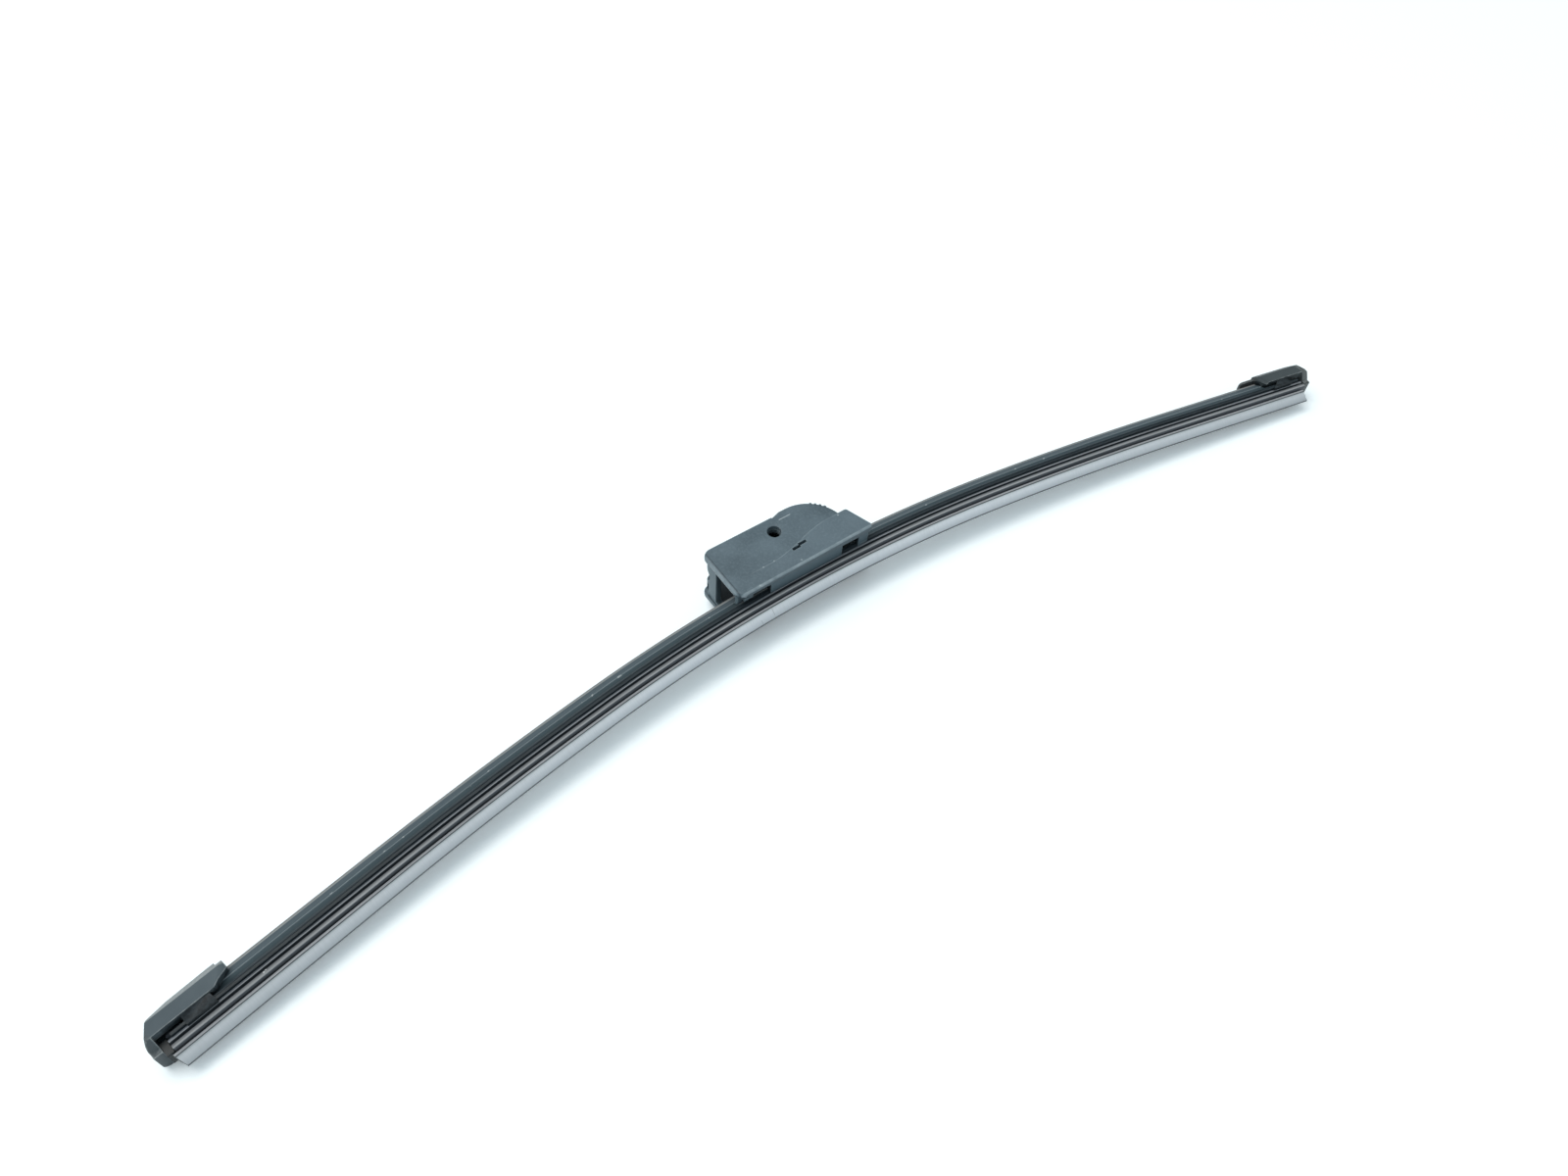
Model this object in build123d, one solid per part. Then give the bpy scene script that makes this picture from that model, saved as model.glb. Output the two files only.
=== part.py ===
from build123d import *

import os
from math import degrees, radians, sin, tan

# Flat wiper blade, lying on its side as it is put down on a table.
# While it is built, X runs along the blade from mid-length, Y points away from the glass,
# Z runs across the blade's width, and the lip edge at mid-length is the origin.
# Driving dimensions, in millimetres and degrees.

# Free bow of the blade, measured along the lip edge from mid-length to each end
blade_length = 500.0
centre_bow_length = 90.0
centre_bow_radius = 665.0
outer_bow_length = 90.0
outer_bow_radius = 1480.0

# Wiping rubber: heights stacked up from the lip edge, and half-widths
lip_edge_half = 0.35
lip_height = 3.45
lip_root_half = 2.55
shoulder_height = 0.55
shoulder_half = 3.05
neck_height = 1.0
neck_half = 0.8
rib_height = 1.2
rib_half = 4.7
groove_height = 0.75
groove_half = 2.3
flange_height = 0.75
flange_half = 4.45
stem_half = 1.0
head_height = 1.25
head_half = 2.6
head_crown_half = 1.7
rubber_bevel = 0.22

# Pair of spring-steel rails, side by side on the rubber's flange
rail_thickness = 0.9
rail_edge_half = 5.5
rail_inset = 1.5
rail_notch_length = 3.0
rail_notch_depth = 0.6

# Spoiler, pushed on from each end in two lengths
slide_gap = 0.08
spoiler_hook = 0.8
spoiler_height = 8.0
foot_half = 5.6
foot_edge = 0.4
flank_hollow = 0.55
ridge_height = 4.25
ridge_half = 2.85
ridge_bead = 0.22
apex_half = 1.1
spoiler_joint_gap = 0.4
spoiler_end_inset = 10.5

# Connector base: the clamp that grips both rails and carries the wiper arm's pin
arm_space_half = 8.6
base_wall = 1.7
base_left = 30.2
base_bottom = 7.0
base_top = 31.4
base_corner = 3.6
post_bottom = 9.4
claw_gap = 0.15
claw_reach = 4.65
shelf_top = 10.6
window_start = 16.5
window_end = 24.5
lintel_thickness = 2.5
lintel_bottom = 23.0
saddle_radius = 4.2
saddle_offset = 1.6
pocket_length = 5.8
pocket_width = 2.4
pocket_depth = 1.5
pocket_offset = 5.2
bulkhead_place = 15.0
bulkhead_thickness = 2.5
pin_bore_radius = 2.45
pin_place = -2.0
pin_height = 25.7
sill_end = 29.0
stop_bar_start = -2.2
stop_bar_bottom = 29.2
cheek_place = 24.9

# Connector cover: the shell over the base
cover_gap = 0.1
cover_wall = 1.8
cover_half_length = 31.0
cover_bottom = 6.8
cover_top = 32.4
cover_low_corner = 4.5
cover_high_corner = 4.0
cover_edge_rounding = 1.2
nose_edge_rounding = 2.4
roof_start = 1.0
roof_thickness = 2.0
nose_rise_end = 5.5
nose_top = 33.7
nose_corner = 22.6
nose_radius = 16.6
nose_end = 25.0
skirt_top_corner = 27.0
skirt_top = 19.2
skirt_flare = 1.0
flare_start = 24.5
crease_low = 13.8
crease_start = -12.0
crease_end = 18.0
spoiler_headroom = 0.8
pin_hole_rim = 0.3
pin_rim_chamfer = 0.28
grip_height = 0.35
grip_width = 0.8
grip_length = 1.6
grip_first_angle = 37.0
grip_spacing = 2.0
grip_count = 4
slot_place = 1.75
slot_height = 14.8
slot_length = 6.8
slot_width = 1.25
slot_offset = 0.75
slot_overlap = 0.4

# End caps: hoods that clip on the rails' ends; the right one has a short, square hood and a tongue
cap_gap = 0.25
left_crown_reach = 20.4
left_flank_reach = 22.5
left_tongue = 0.0
left_taper = 4.0
left_crown_end = -5.0
left_brow_place = 1.4
left_brow_height = 17.0
left_corner_rounding = 2.6
left_claw_slant = 0.5
right_crown_reach = 17.0
right_flank_reach = 17.6
right_tongue = 7.2
right_taper = 1.2
right_crown_end = 1.0
right_brow_place = 4.3
right_brow_height = 16.5
right_corner_rounding = 1.2
right_claw_slant = 4.4
cap_hood_reach = 17.0
cap_taper_half = 4.3
cap_claw_reach = 15.7
cap_claw_end = 6.2
cap_overhang = 5.3
cap_claw_half = 6.3
cap_hood_half = 6.85
cap_shoulder_half = 5.5
cap_crown_half = 2.4
cap_claw_bottom = 7.0
cap_wall_bottom = 6.6
cap_hood_bottom = 10.6
cap_slant_top = 14.5
cap_shoulder_height = 16.1
cap_flank_top = 17.6
cap_crown = 19.3
cap_crown_fall = 0.7
cap_nose_height = 9.0
cap_nose_rounding = 1.5
cap_edge_rounding = 0.5
cap_end_wall = 2.8
cap_wall_half = 2.9
cap_wall_shoulder = 8.2
cap_chamber_half = 4.1
cap_chamber_top = 13.6
cap_tongue_half = 2.4
cap_tongue_top = 18.3
cap_tongue_rounding = 1.6

# Heights that follow from the stack of rubber, rails and spoiler
shoulder_bottom = lip_height
shoulder_top = shoulder_bottom + shoulder_height
rib_bottom = shoulder_top + neck_height
rib_top = rib_bottom + rib_height
flange_bottom = rib_top + groove_height
flange_top = flange_bottom + flange_height
rail_bottom = flange_top + slide_gap
rail_top = rail_bottom + rail_thickness
foot_bottom = rail_top + slide_gap
foot_top = foot_bottom + foot_edge
slot_floor = foot_bottom + spoiler_hook
head_bottom = slot_floor + slide_gap
head_top = head_bottom + head_height
slot_roof = head_top + slide_gap
ridge_line = foot_bottom + ridge_height
apex = foot_bottom + spoiler_height
blade_half = blade_length / 2
base_half = arm_space_half + base_wall
cover_inside = base_half + cover_gap
cover_half = cover_inside + cover_wall
skirt_half = cover_half + skirt_flare
nose_foot = skirt_top + nose_edge_rounding
far = blade_length

bow_runs = [(centre_bow_length, centre_bow_radius), (outer_bow_length, outer_bow_radius), (far, None)]


def bow_place(distance):
    """Place on the lip line: X runs along the blade, Y points away from the glass."""
    place = Location()
    left_over = distance
    for reach, radius in bow_runs:
        step = min(left_over, reach)
        if radius:
            turn = degrees(step / radius)
            place = place * Pos(0, -radius) * Rot(0, 0, -turn) * Pos(0, radius)
        else:
            place = place * Pos(step, 0)
        left_over -= step
    return place


def along_bow(section, start, end):
    """Carry a section, drawn as height and half-width, along the bow on the +X side."""
    solids = []
    begin = 0.0
    for reach, radius in bow_runs:
        first = max(start, begin)
        last = min(end, begin + reach)
        if last > first:
            place = bow_place(first)
            face = place * (Plane.YZ * section)
            if radius:
                centre = (place * Pos(0, -radius)).position
                solids.append(revolve(face, Axis(centre, (0, 0, -1)), degrees((last - first) / radius)))
            else:
                run = (place * Pos(1, 0)).position - place.position
                solids.append(extrude(face, last - first, dir=run))
        begin += reach
    whole = solids[0]
    for solid in solids[1:]:
        whole = whole + solid
    return whole


def both_ways(half):
    """The +X half joined to its mirror image."""
    return half + mirror(half, about=Plane.YZ)


def mirrored_section(edges):
    """Close a half outline on the centre line and add its mirror image."""
    outline = Wire(edges)
    half = make_face([*edges, Line(outline @ 1, outline @ 0)])
    return half + mirror(half, about=Plane.XZ)


def block(low_x, high_x, low_y, high_y, half_width):
    """Box between two places along the blade and two heights, centred on its width."""
    size = (high_x - low_x, high_y - low_y, 2 * half_width)
    return Pos((low_x + high_x) / 2, (low_y + high_y) / 2, 0) * Box(*size)


def panel(low_x, high_x, low_y, high_y):
    """Flat rectangle between two places along the blade and two heights."""
    return Pos((low_x + high_x) / 2, (low_y + high_y) / 2) * Rectangle(high_x - low_x, high_y - low_y)


def rounded_outline(corners):
    """Closed outline with its own rounding at each corner that has one."""
    face = make_face(Polyline(*[(x, y) for x, y, _ in corners], close=True))
    for x, y, radius in corners:
        if radius:
            face = fillet(face.vertices().sort_by_distance((x, y, 0))[0], radius)
    return face


def rubber_section():
    """Lip, shoulder, tilting neck, rib, flange, and the head that the spoiler hooks under."""
    points = [
        (lip_height, lip_root_half),
        (lip_height, shoulder_half),
        (shoulder_top, shoulder_half),
        (shoulder_top, neck_half),
        (rib_bottom, neck_half),
        (rib_bottom, rib_half),
        (rib_top, rib_half),
        (rib_top, groove_half),
        (flange_bottom, groove_half),
        (flange_bottom, flange_half),
        (flange_top, flange_half),
        (flange_top, stem_half),
        (head_bottom, stem_half),
        (head_bottom, head_half),
        (head_top, head_crown_half),
        (head_top, 0),
    ]
    lip = Polyline((0, 0), (0, lip_edge_half), (lip_height, lip_root_half))
    section = mirrored_section([*lip.edges(), *Polyline(*points).edges()])
    for half_width in (shoulder_half, rib_half, flange_half):
        corners = section.vertices().filter_by(lambda v: abs(abs(v.Y) - half_width) < 1e-6)
        section = chamfer(corners, rubber_bevel)
    return section


def spoiler_outline_edges():
    """Foot, hollow flank, ridge bead and round apex of the spoiler, on one side."""
    foot = Polyline((foot_bottom, foot_half), (foot_top, foot_half))
    flank_end = (ridge_line - ridge_bead, ridge_half - ridge_bead)
    flank = SagittaArc((foot_top, foot_half), flank_end, -flank_hollow)
    bead = Polyline(flank_end, (ridge_line, ridge_half), (ridge_line + ridge_bead, ridge_half - ridge_bead))
    crown_centre = apex - apex_half
    upper = Line(bead @ 1, (crown_centre, apex_half))
    crown = ThreePointArc(
        (crown_centre, apex_half),
        (crown_centre + apex_half * sin(radians(45)), apex_half * sin(radians(45))),
        (apex, 0),
    )
    return [*foot.edges(), flank, *bead.edges(), upper, crown]


def spoiler_solid_section():
    """Outer shape of the spoiler without the slot for the rubber's head."""
    base_line = Line((foot_bottom, 0), (foot_bottom, foot_half))
    return mirrored_section([base_line, *spoiler_outline_edges()])


def spoiler_section():
    """Spoiler with the undercut slot that hooks under the rubber's head."""
    slot = Polyline(
        (slot_roof, 0),
        (slot_roof, head_crown_half + slide_gap),
        (slot_floor, head_half + slide_gap),
        (slot_floor, stem_half + slide_gap),
        (foot_bottom, stem_half + slide_gap),
        (foot_bottom, foot_half),
    )
    return mirrored_section([*slot.edges(), *spoiler_outline_edges()])


def make_rubber():
    """One extruded strip from end to end."""
    return both_ways(along_bow(rubber_section(), 0, blade_half))


def make_rail():
    """Spring-steel strip on the +Z side, notched at mid-length for the connector's key."""
    inner = stem_half + slide_gap
    width = rail_edge_half - inner
    strip = Pos(rail_bottom + rail_thickness / 2, inner + width / 2) * Rectangle(rail_thickness, width)
    rail = both_ways(along_bow(strip, 0, blade_half - rail_inset))
    notch = Box(rail_notch_length, 2 * rail_thickness, 2 * rail_notch_depth)
    return rail - Pos(0, rail_bottom + rail_thickness / 2, rail_edge_half) * notch


def make_spoiler():
    """Spoiler length on the +X side, from inside the connector to inside the end cap."""
    return along_bow(spoiler_section(), spoiler_joint_gap / 2, blade_half - spoiler_end_inset)


def blade_passage():
    """Space that the rubber, the rails and the spoiler's feet take up between the claws."""
    rail_edge = rail_edge_half + claw_gap
    foot_clear = foot_half + claw_gap
    points = Polyline(
        (-far, 0),
        (-far, claw_reach),
        (rail_bottom - claw_gap, claw_reach),
        (rail_bottom - claw_gap, max(rail_edge, foot_clear)),
        (foot_top + claw_gap, foot_clear),
        (ridge_line, ridge_half + 2 * claw_gap),
        (ridge_line, 0),
    )
    return mirrored_section(points.edges())


def cover_outline():
    """Side view of the cover: straight back, round nose falling to the slanted skirt."""
    return rounded_outline([
        (-cover_half_length, cover_bottom, cover_low_corner),
        (-cover_half_length, cover_top, cover_high_corner),
        (roof_start, cover_top, 0),
        (nose_rise_end, nose_top, cover_edge_rounding),
        (nose_corner, nose_top, nose_radius),
        (nose_end, skirt_top, 0),
        (skirt_top_corner, skirt_top, cover_edge_rounding),
        (cover_half_length, cover_bottom, cover_edge_rounding),
    ])


def base_outline():
    """Side view of the base, inside the cover's roof and short of its left edge."""
    under_roof = offset(cover_outline(), -(roof_thickness + cover_gap))
    back = rounded_outline([
        (-base_left, base_bottom, base_corner),
        (-base_left, base_top, base_corner),
        (roof_start - cover_gap, base_top, 0),
        (roof_start - cover_gap, base_bottom, 0),
    ])
    window = panel(-base_left, cover_half_length, base_bottom, cover_top)
    lower = under_roof & window
    sill = panel(roof_start - 2 * cover_wall, sill_end, base_bottom, shelf_top)
    return back + lower + sill


def make_base():
    """Clamp with two walls, a lintel with a saddle, cross walls, and claws under the rails."""
    body = extrude(base_outline(), base_half, both=True)
    headroom = apex + spoiler_headroom
    lintel_inside = -base_left + lintel_thickness
    bulkhead_end = bulkhead_place + bulkhead_thickness
    space = panel(-far, cheek_place, shelf_top, headroom)
    space += panel(-far, bulkhead_place, shelf_top, lintel_bottom)
    space += panel(lintel_inside, bulkhead_place, shelf_top, far)
    space += panel(bulkhead_end, cheek_place, shelf_top, far)
    body -= extrude(space, arm_space_half, both=True)
    body -= block(cheek_place, far, shelf_top, far, ridge_half + 2 * claw_gap)
    body += block(stop_bar_start, roof_start - cover_gap, stop_bar_bottom, base_top, base_half)
    body -= both_ways(along_bow(blade_passage(), 0, 2 * cover_half_length))
    for low, high in ((window_start, window_end), (-window_end, -window_start)):
        body -= block(low, high, -far, shelf_top, 2 * base_half)
    body -= block(-far, -window_end, -far, post_bottom, 2 * base_half)
    key_height = rail_bottom + rail_thickness / 2
    key_length = rail_notch_length - 2 * claw_gap
    key_edge = rail_edge_half - rail_notch_depth + claw_gap
    key = Box(key_length, rail_thickness, foot_half + 2 * claw_gap - key_edge)
    key_centre = (foot_half + 2 * claw_gap + key_edge) / 2
    body += Pos(0, key_height, key_centre) * key
    body += Pos(0, key_height, -key_centre) * key
    body -= Pos(pin_place, pin_height, 0) * Cylinder(pin_bore_radius, 4 * base_half)
    saddle = Cylinder(saddle_radius, 4 * lintel_thickness)
    body -= Pos(-base_left, base_top, saddle_offset) * Rot(0, 90, 0) * saddle
    pocket = extrude(SlotOverall(pocket_length, pocket_width), pocket_depth, both=True)
    pocket_height = base_top - pocket_width
    body -= Pos(-base_left, pocket_height, -pocket_offset) * Rot(0, 90, 0) * pocket
    return body


def below_crease():
    """Side view of the skirt's height: below a crease that rises in an S towards the nose."""
    rise = Spline(
        (crease_start, crease_low),
        (crease_end, skirt_top),
        tangents=[(1, 0), (1, 0)],
    )
    rest = Polyline(
        rise @ 1,
        (2 * cover_half_length, skirt_top),
        (2 * cover_half_length, -far),
        (-flare_start, -far),
        (-flare_start, crease_low),
        rise @ 0,
    )
    return make_face([rise, *rest.edges()])


def skirt_envelope():
    """Skirt's width, widening from flush with the plate to the flare, with round lower edges."""
    ends = []
    for place, half in ((-flare_start, cover_half), (cover_half_length, skirt_half)):
        section = rounded_outline([
            (cover_bottom, -half, cover_edge_rounding),
            (cover_bottom, half, cover_edge_rounding),
            (cover_top, half, 0),
            (cover_top, -half, 0),
        ])
        ends.append(Pos(place, 0, 0) * (Plane.YZ * section))
    return loft(ends, ruled=True)


def rounded_plates(outline, half, radius, faces_out):
    """Side plates joined as one block, with the rims that face outwards rounded."""
    both_plates = extrude(outline, half, both=True)
    rims = [edge for edge in both_plates.edges() if abs(abs(edge.center().Z) - half) < 1e-6]
    return fillet([edge for edge in rims if faces_out(edge.center())], radius)


def on_nose(place):
    """Whether a rim lies on the nose's top and slope."""
    return place.Y > nose_foot + cover_gap and place.X > roof_start + cover_gap


def on_back(place):
    """Whether a rim lies on the cover's back, left of the roof."""
    return place.X < roof_start - cover_gap


def nose_grips():
    """Short finger ridges across the nose, cut from a round skin that stands proud of its rim."""
    disc = Cylinder(nose_radius + grip_height, 2 * (cover_half + grip_height))
    skin = fillet(disc.edges().filter_by(GeomType.CIRCLE), nose_edge_rounding + grip_height)
    centre_x = nose_corner - nose_radius * tan(nose_turn() / 2)
    centre_y = nose_top - nose_radius
    grips = []
    for step in range(grip_count):
        angle = grip_first_angle + step * degrees(grip_spacing / nose_radius)
        bar = Pos(0, nose_radius) * Box(grip_width, 2 * grip_length, 4 * cover_half)
        grips.append(Pos(centre_x, centre_y) * (skin & (Rot(0, 0, -angle) * bar)))
    return grips


def make_cover():
    """Shell of two side plates joined by the nose roof, with a flared skirt."""
    outline = cover_outline()
    back = outline & panel(-far, roof_start, -far, far)
    nose = outline & panel(roof_start, far, crease_low, far)
    body = rounded_plates(back, cover_half, cover_edge_rounding, on_back)
    body += rounded_plates(nose, cover_half, nose_edge_rounding, on_nose)
    body += extrude(outline & below_crease(), skirt_half, both=True) & skirt_envelope()
    for grip in nose_grips():
        body += grip
    inside = offset(outline, -roof_thickness)
    inside += panel(-far, roof_start, -far, far)
    inside += panel(-far, far, -far, apex + spoiler_headroom)
    body -= extrude(inside, cover_inside, both=True)
    hole_radius = pin_bore_radius + pin_hole_rim
    body -= Pos(pin_place, pin_height, 0) * Cylinder(hole_radius, 4 * cover_half)
    for side in (1, -1):
        cone = Cone(hole_radius + pin_rim_chamfer, hole_radius, pin_rim_chamfer)
        rim_place = Pos(pin_place, pin_height, side * (cover_half - pin_rim_chamfer / 2))
        body -= rim_place * Rot(90 + side * 90, 0, 0) * cone
    slot_half = (slot_length + slot_overlap) / 2
    slot_shift = (slot_length - slot_half) / 2
    slot = Pos(-slot_shift, -slot_offset / 2) * Rectangle(slot_half, slot_width)
    slot += Pos(slot_shift, slot_offset / 2) * Rectangle(slot_half, slot_width)
    body -= extrude(Pos(slot_place, slot_height) * slot, 4 * cover_half, both=True)
    return body


def nose_turn():
    """Angle in radians that the nose turns through, from the flat back to its slope."""
    slope = Vector(nose_end - nose_corner, skirt_top - nose_top)
    return radians(Vector(1, 0).get_angle(slope))


def cap_side(crown_reach, flank_reach, crown_end, brow, claw_slant):
    """Side view of an end cap: hood, end wall, and a claw with a slanted edge at the spoiler's end."""
    wall_inside = cap_overhang - cap_end_wall
    return rounded_outline([
        (-flank_reach, cap_flank_top, 0),
        (-crown_reach, cap_flank_top, 0),
        (-crown_reach, cap_crown, 0),
        (crown_end, cap_crown - cap_crown_fall, cap_nose_rounding),
        (*brow, cap_nose_rounding),
        (cap_overhang, cap_nose_height, cap_nose_rounding),
        (cap_overhang, cap_wall_bottom, 0),
        (wall_inside, cap_wall_bottom, 0),
        (wall_inside, cap_hood_bottom, 0),
        (-cap_claw_end, cap_hood_bottom, 0),
        (-cap_claw_end, cap_claw_bottom, 0),
        (-cap_claw_reach, cap_claw_bottom, 0),
        (-cap_claw_reach + claw_slant, cap_hood_bottom, 0),
        (-cap_hood_reach, cap_hood_bottom, 0),
        (-flank_reach, cap_slant_top, 0),
    ])


def cap_front():
    """Front view of an end cap: straight below, leaning flanks, and a crown with broad chamfers."""
    half_front = [
        (0, cap_hood_half, 0),
        (cap_hood_bottom, cap_hood_half, 0),
        (cap_shoulder_height, cap_shoulder_half, cap_edge_rounding),
        (cap_crown, cap_crown_half, cap_edge_rounding),
    ]
    other_half = [(height, -half, radius) for height, half, radius in reversed(half_front)]
    return rounded_outline(half_front + other_half)


def cap_plan(flank_reach, taper, corner_rounding):
    """View of an end cap from the glass: tapered over the spoiler, with round corners at the end."""
    return rounded_outline([
        (-flank_reach, -cap_taper_half, 0),
        (-flank_reach, cap_taper_half, 0),
        (-flank_reach + taper, cap_hood_half, 0),
        (cap_overhang, cap_hood_half, corner_rounding),
        (cap_overhang, -cap_hood_half, corner_rounding),
        (-flank_reach + taper, -cap_hood_half, 0),
    ])


def cap_wall_cut():
    """Corner that the end wall lacks on the upper side, from the hood down to its narrow foot."""
    return make_face(Polyline(
        (0, cap_wall_half),
        (cap_wall_shoulder, cap_wall_half),
        (cap_hood_bottom, cap_hood_half),
        (cap_hood_bottom, 2 * cap_hood_half),
        (0, 2 * cap_hood_half),
        close=True,
    ))


def cap_tongue(start, end):
    """Flat lid over the spoiler's crown, with a round tip."""
    lid = rounded_outline([
        (start, -cap_tongue_half, cap_tongue_rounding),
        (start, cap_tongue_half, cap_tongue_rounding),
        (end, cap_tongue_half, 0),
        (end, -cap_tongue_half, 0),
    ])
    layer = block(start, end, apex + 2 * cap_gap, cap_tongue_top, far)
    return extrude(Plane.XZ * lid, far, both=True) & layer


def make_cap(crown_reach, flank_reach, tongue, taper, crown_end, brow, corner_rounding, claw_slant):
    """End cap for the +X end: a hood over the spoiler's end, with claws under the rails and an end wall."""
    side = cap_side(crown_reach, flank_reach, crown_end, brow, claw_slant)
    cap = extrude(side, 2 * cap_hood_half, both=True)
    cap &= extrude(Plane.YZ * cap_front(), 2 * flank_reach, both=True)
    cap &= extrude(Plane.XZ * cap_plan(flank_reach, taper, corner_rounding), far, both=True)
    wall_inside = cap_overhang - cap_end_wall
    beside = block(-far, wall_inside, -far, cap_hood_bottom, 2 * cap_hood_half)
    cap -= beside - block(-far, wall_inside, -far, cap_hood_bottom, cap_claw_half)
    cap -= extrude(Plane.YZ * cap_wall_cut(), far, dir=(1, 0, 0))
    if tongue:
        cap += cap_tongue(-flank_reach - tongue, -flank_reach + 2 * cap_tongue_rounding)
    spoiler_run = far - spoiler_end_inset + cap_gap
    spoiler_clear = offset(spoiler_solid_section(), cap_gap)
    cap -= Pos(-far) * extrude(Plane.YZ * spoiler_clear, spoiler_run, dir=(1, 0, 0))
    chamber = Polyline(
        (-far, 0),
        (-far, claw_reach),
        (rail_bottom - claw_gap, claw_reach),
        (rail_bottom - claw_gap, rail_edge_half + claw_gap),
        (rail_top + claw_gap, rail_edge_half + claw_gap),
        (rail_top + claw_gap, cap_chamber_half),
        (cap_chamber_top, head_half + cap_gap),
        (cap_chamber_top, 0),
    )
    chamber_section = mirrored_section(chamber.edges())
    cap -= Pos(-far) * extrude(Plane.YZ * chamber_section, far + wall_inside, dir=(1, 0, 0))
    return bow_place(blade_half) * cap


def lowest(solid, turn):
    """Height of a solid's lowest point once it is turned about the X axis."""
    return solid.rotate(Axis.X, turn).bounding_box().min.Z


def rest_turn(cover, cap):
    """Turn about X at which the cover's skirt and the end caps stand on the same table."""
    low = 0.0
    high = 30.0
    while high - low > 1e-4:
        middle = (low + high) / 2
        if lowest(cover, middle) < lowest(cap, middle):
            low = middle
        else:
            high = middle
    return low


rail = make_rail()
spoiler = make_spoiler()
right_brow = (right_brow_place, right_brow_height)
right_cap = make_cap(
    right_crown_reach,
    right_flank_reach,
    right_tongue,
    right_taper,
    right_crown_end,
    right_brow,
    right_corner_rounding,
    right_claw_slant,
)
left_brow = (left_brow_place, left_brow_height)
left_cap = make_cap(
    left_crown_reach,
    left_flank_reach,
    left_tongue,
    left_taper,
    left_crown_end,
    left_brow,
    left_corner_rounding,
    left_claw_slant,
)
cover = make_cover()
pieces = {
    "wiper_rubber": make_rubber(),
    "rail_upper": rail,
    "rail_lower": mirror(rail, about=Plane.XY),
    "spoiler_left": mirror(spoiler, about=Plane.YZ),
    "spoiler_right": spoiler,
    "connector_base": make_base(),
    "connector_cover": cover,
    "end_cap_left": mirror(left_cap, about=Plane.YZ),
    "end_cap_right": right_cap,
}

# Lay the blade on the table: skirt and both end caps touch it, and the origin is under the box's middle
turn = rest_turn(cover, right_cap)
laid = {name: piece.rotate(Axis.X, turn) for name, piece in pieces.items()}
boxes = [piece.bounding_box() for piece in laid.values()]
middle_x = (min(box.min.X for box in boxes) + max(box.max.X for box in boxes)) / 2
middle_y = (min(box.min.Y for box in boxes) + max(box.max.Y for box in boxes)) / 2
shift = Pos(-middle_x, -middle_y, -min(box.min.Z for box in boxes))

os.makedirs("parts", exist_ok=True)
for name, piece in laid.items():
    export_step(shift * piece, f"parts/{name}.step")
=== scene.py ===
from math import radians
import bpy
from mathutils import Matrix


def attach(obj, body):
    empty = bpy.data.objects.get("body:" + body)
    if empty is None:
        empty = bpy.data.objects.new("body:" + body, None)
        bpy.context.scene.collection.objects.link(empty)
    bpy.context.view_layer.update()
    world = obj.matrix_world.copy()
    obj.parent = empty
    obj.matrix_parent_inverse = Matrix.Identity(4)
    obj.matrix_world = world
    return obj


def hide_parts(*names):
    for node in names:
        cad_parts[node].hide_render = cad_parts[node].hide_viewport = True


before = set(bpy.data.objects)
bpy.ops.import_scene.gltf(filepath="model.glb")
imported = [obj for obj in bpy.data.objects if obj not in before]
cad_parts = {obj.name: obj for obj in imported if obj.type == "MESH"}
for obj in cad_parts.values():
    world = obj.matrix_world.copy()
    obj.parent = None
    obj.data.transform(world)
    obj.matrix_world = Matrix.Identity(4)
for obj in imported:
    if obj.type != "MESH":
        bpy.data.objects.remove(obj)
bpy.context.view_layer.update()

from types import SimpleNamespace

import bmesh
import bpy
import numpy as np

# Wiping rubber: one extruded strip of black rubber with grey lip faces, partly coating and partly painted
# sheen, a thin neck that lets the lip tilt, a rib, a flange that the rails lie on, and a head that the
# spoiler hooks under.
# Its lip is cut at a slight slant at both ends and has set with a little droop.
MM = 0.001
BLADE_HALF = 250.0
BOW_ARCS = ((90.0, 665.0), (90.0, 1480.0))
REST_TURN = radians(9.778347)
REST_SHIFT = (-0.239112, -0.391271, 11.658710)

LIP_TOP = 3.05
SHOULDER_TOP = 3.92
RIB_BOTTOM = 4.5
RIB_TOP = 5.85
FLANGE_BOTTOM = 6.85
FLANGE_TOP = 7.7
HEAD_BOTTOM = 9.64
HEAD_TOP = 10.89
WIPING_EDGE_HALF = 0.35
LIP_ROOT_HALF = 2.55
SHOULDER_HALF = 3.05
NECK_HALF = 0.8
RIB_HALF = 4.7
WAIST_HALF = 2.3
FLANGE_HALF = 4.45
STEM_HALF = 1.0
HEAD_HALF = 2.6
HEAD_TOP_HALF = 1.7
WIPING_EDGE_ROUND = 0.06
LIP_ROOT_ROUND = 0.05
SHOULDER_ROUND = 0.15
NECK_ROUND = 0.25
RIB_LOWER_ROUND = 0.4
RIB_UPPER_ROUND = 0.3
FLANGE_ROUND = 0.15
HEAD_ROUND = 0.1
CORNER_STEPS = 5
RUBBER_STATIONS = 251
STRIP_SHARP_ANGLE = radians(32)
LIP_DROOP = 0.14
LIP_CUT = 0.3
LIP_CUT_TOP = RIB_BOTTOM - 0.05

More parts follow.
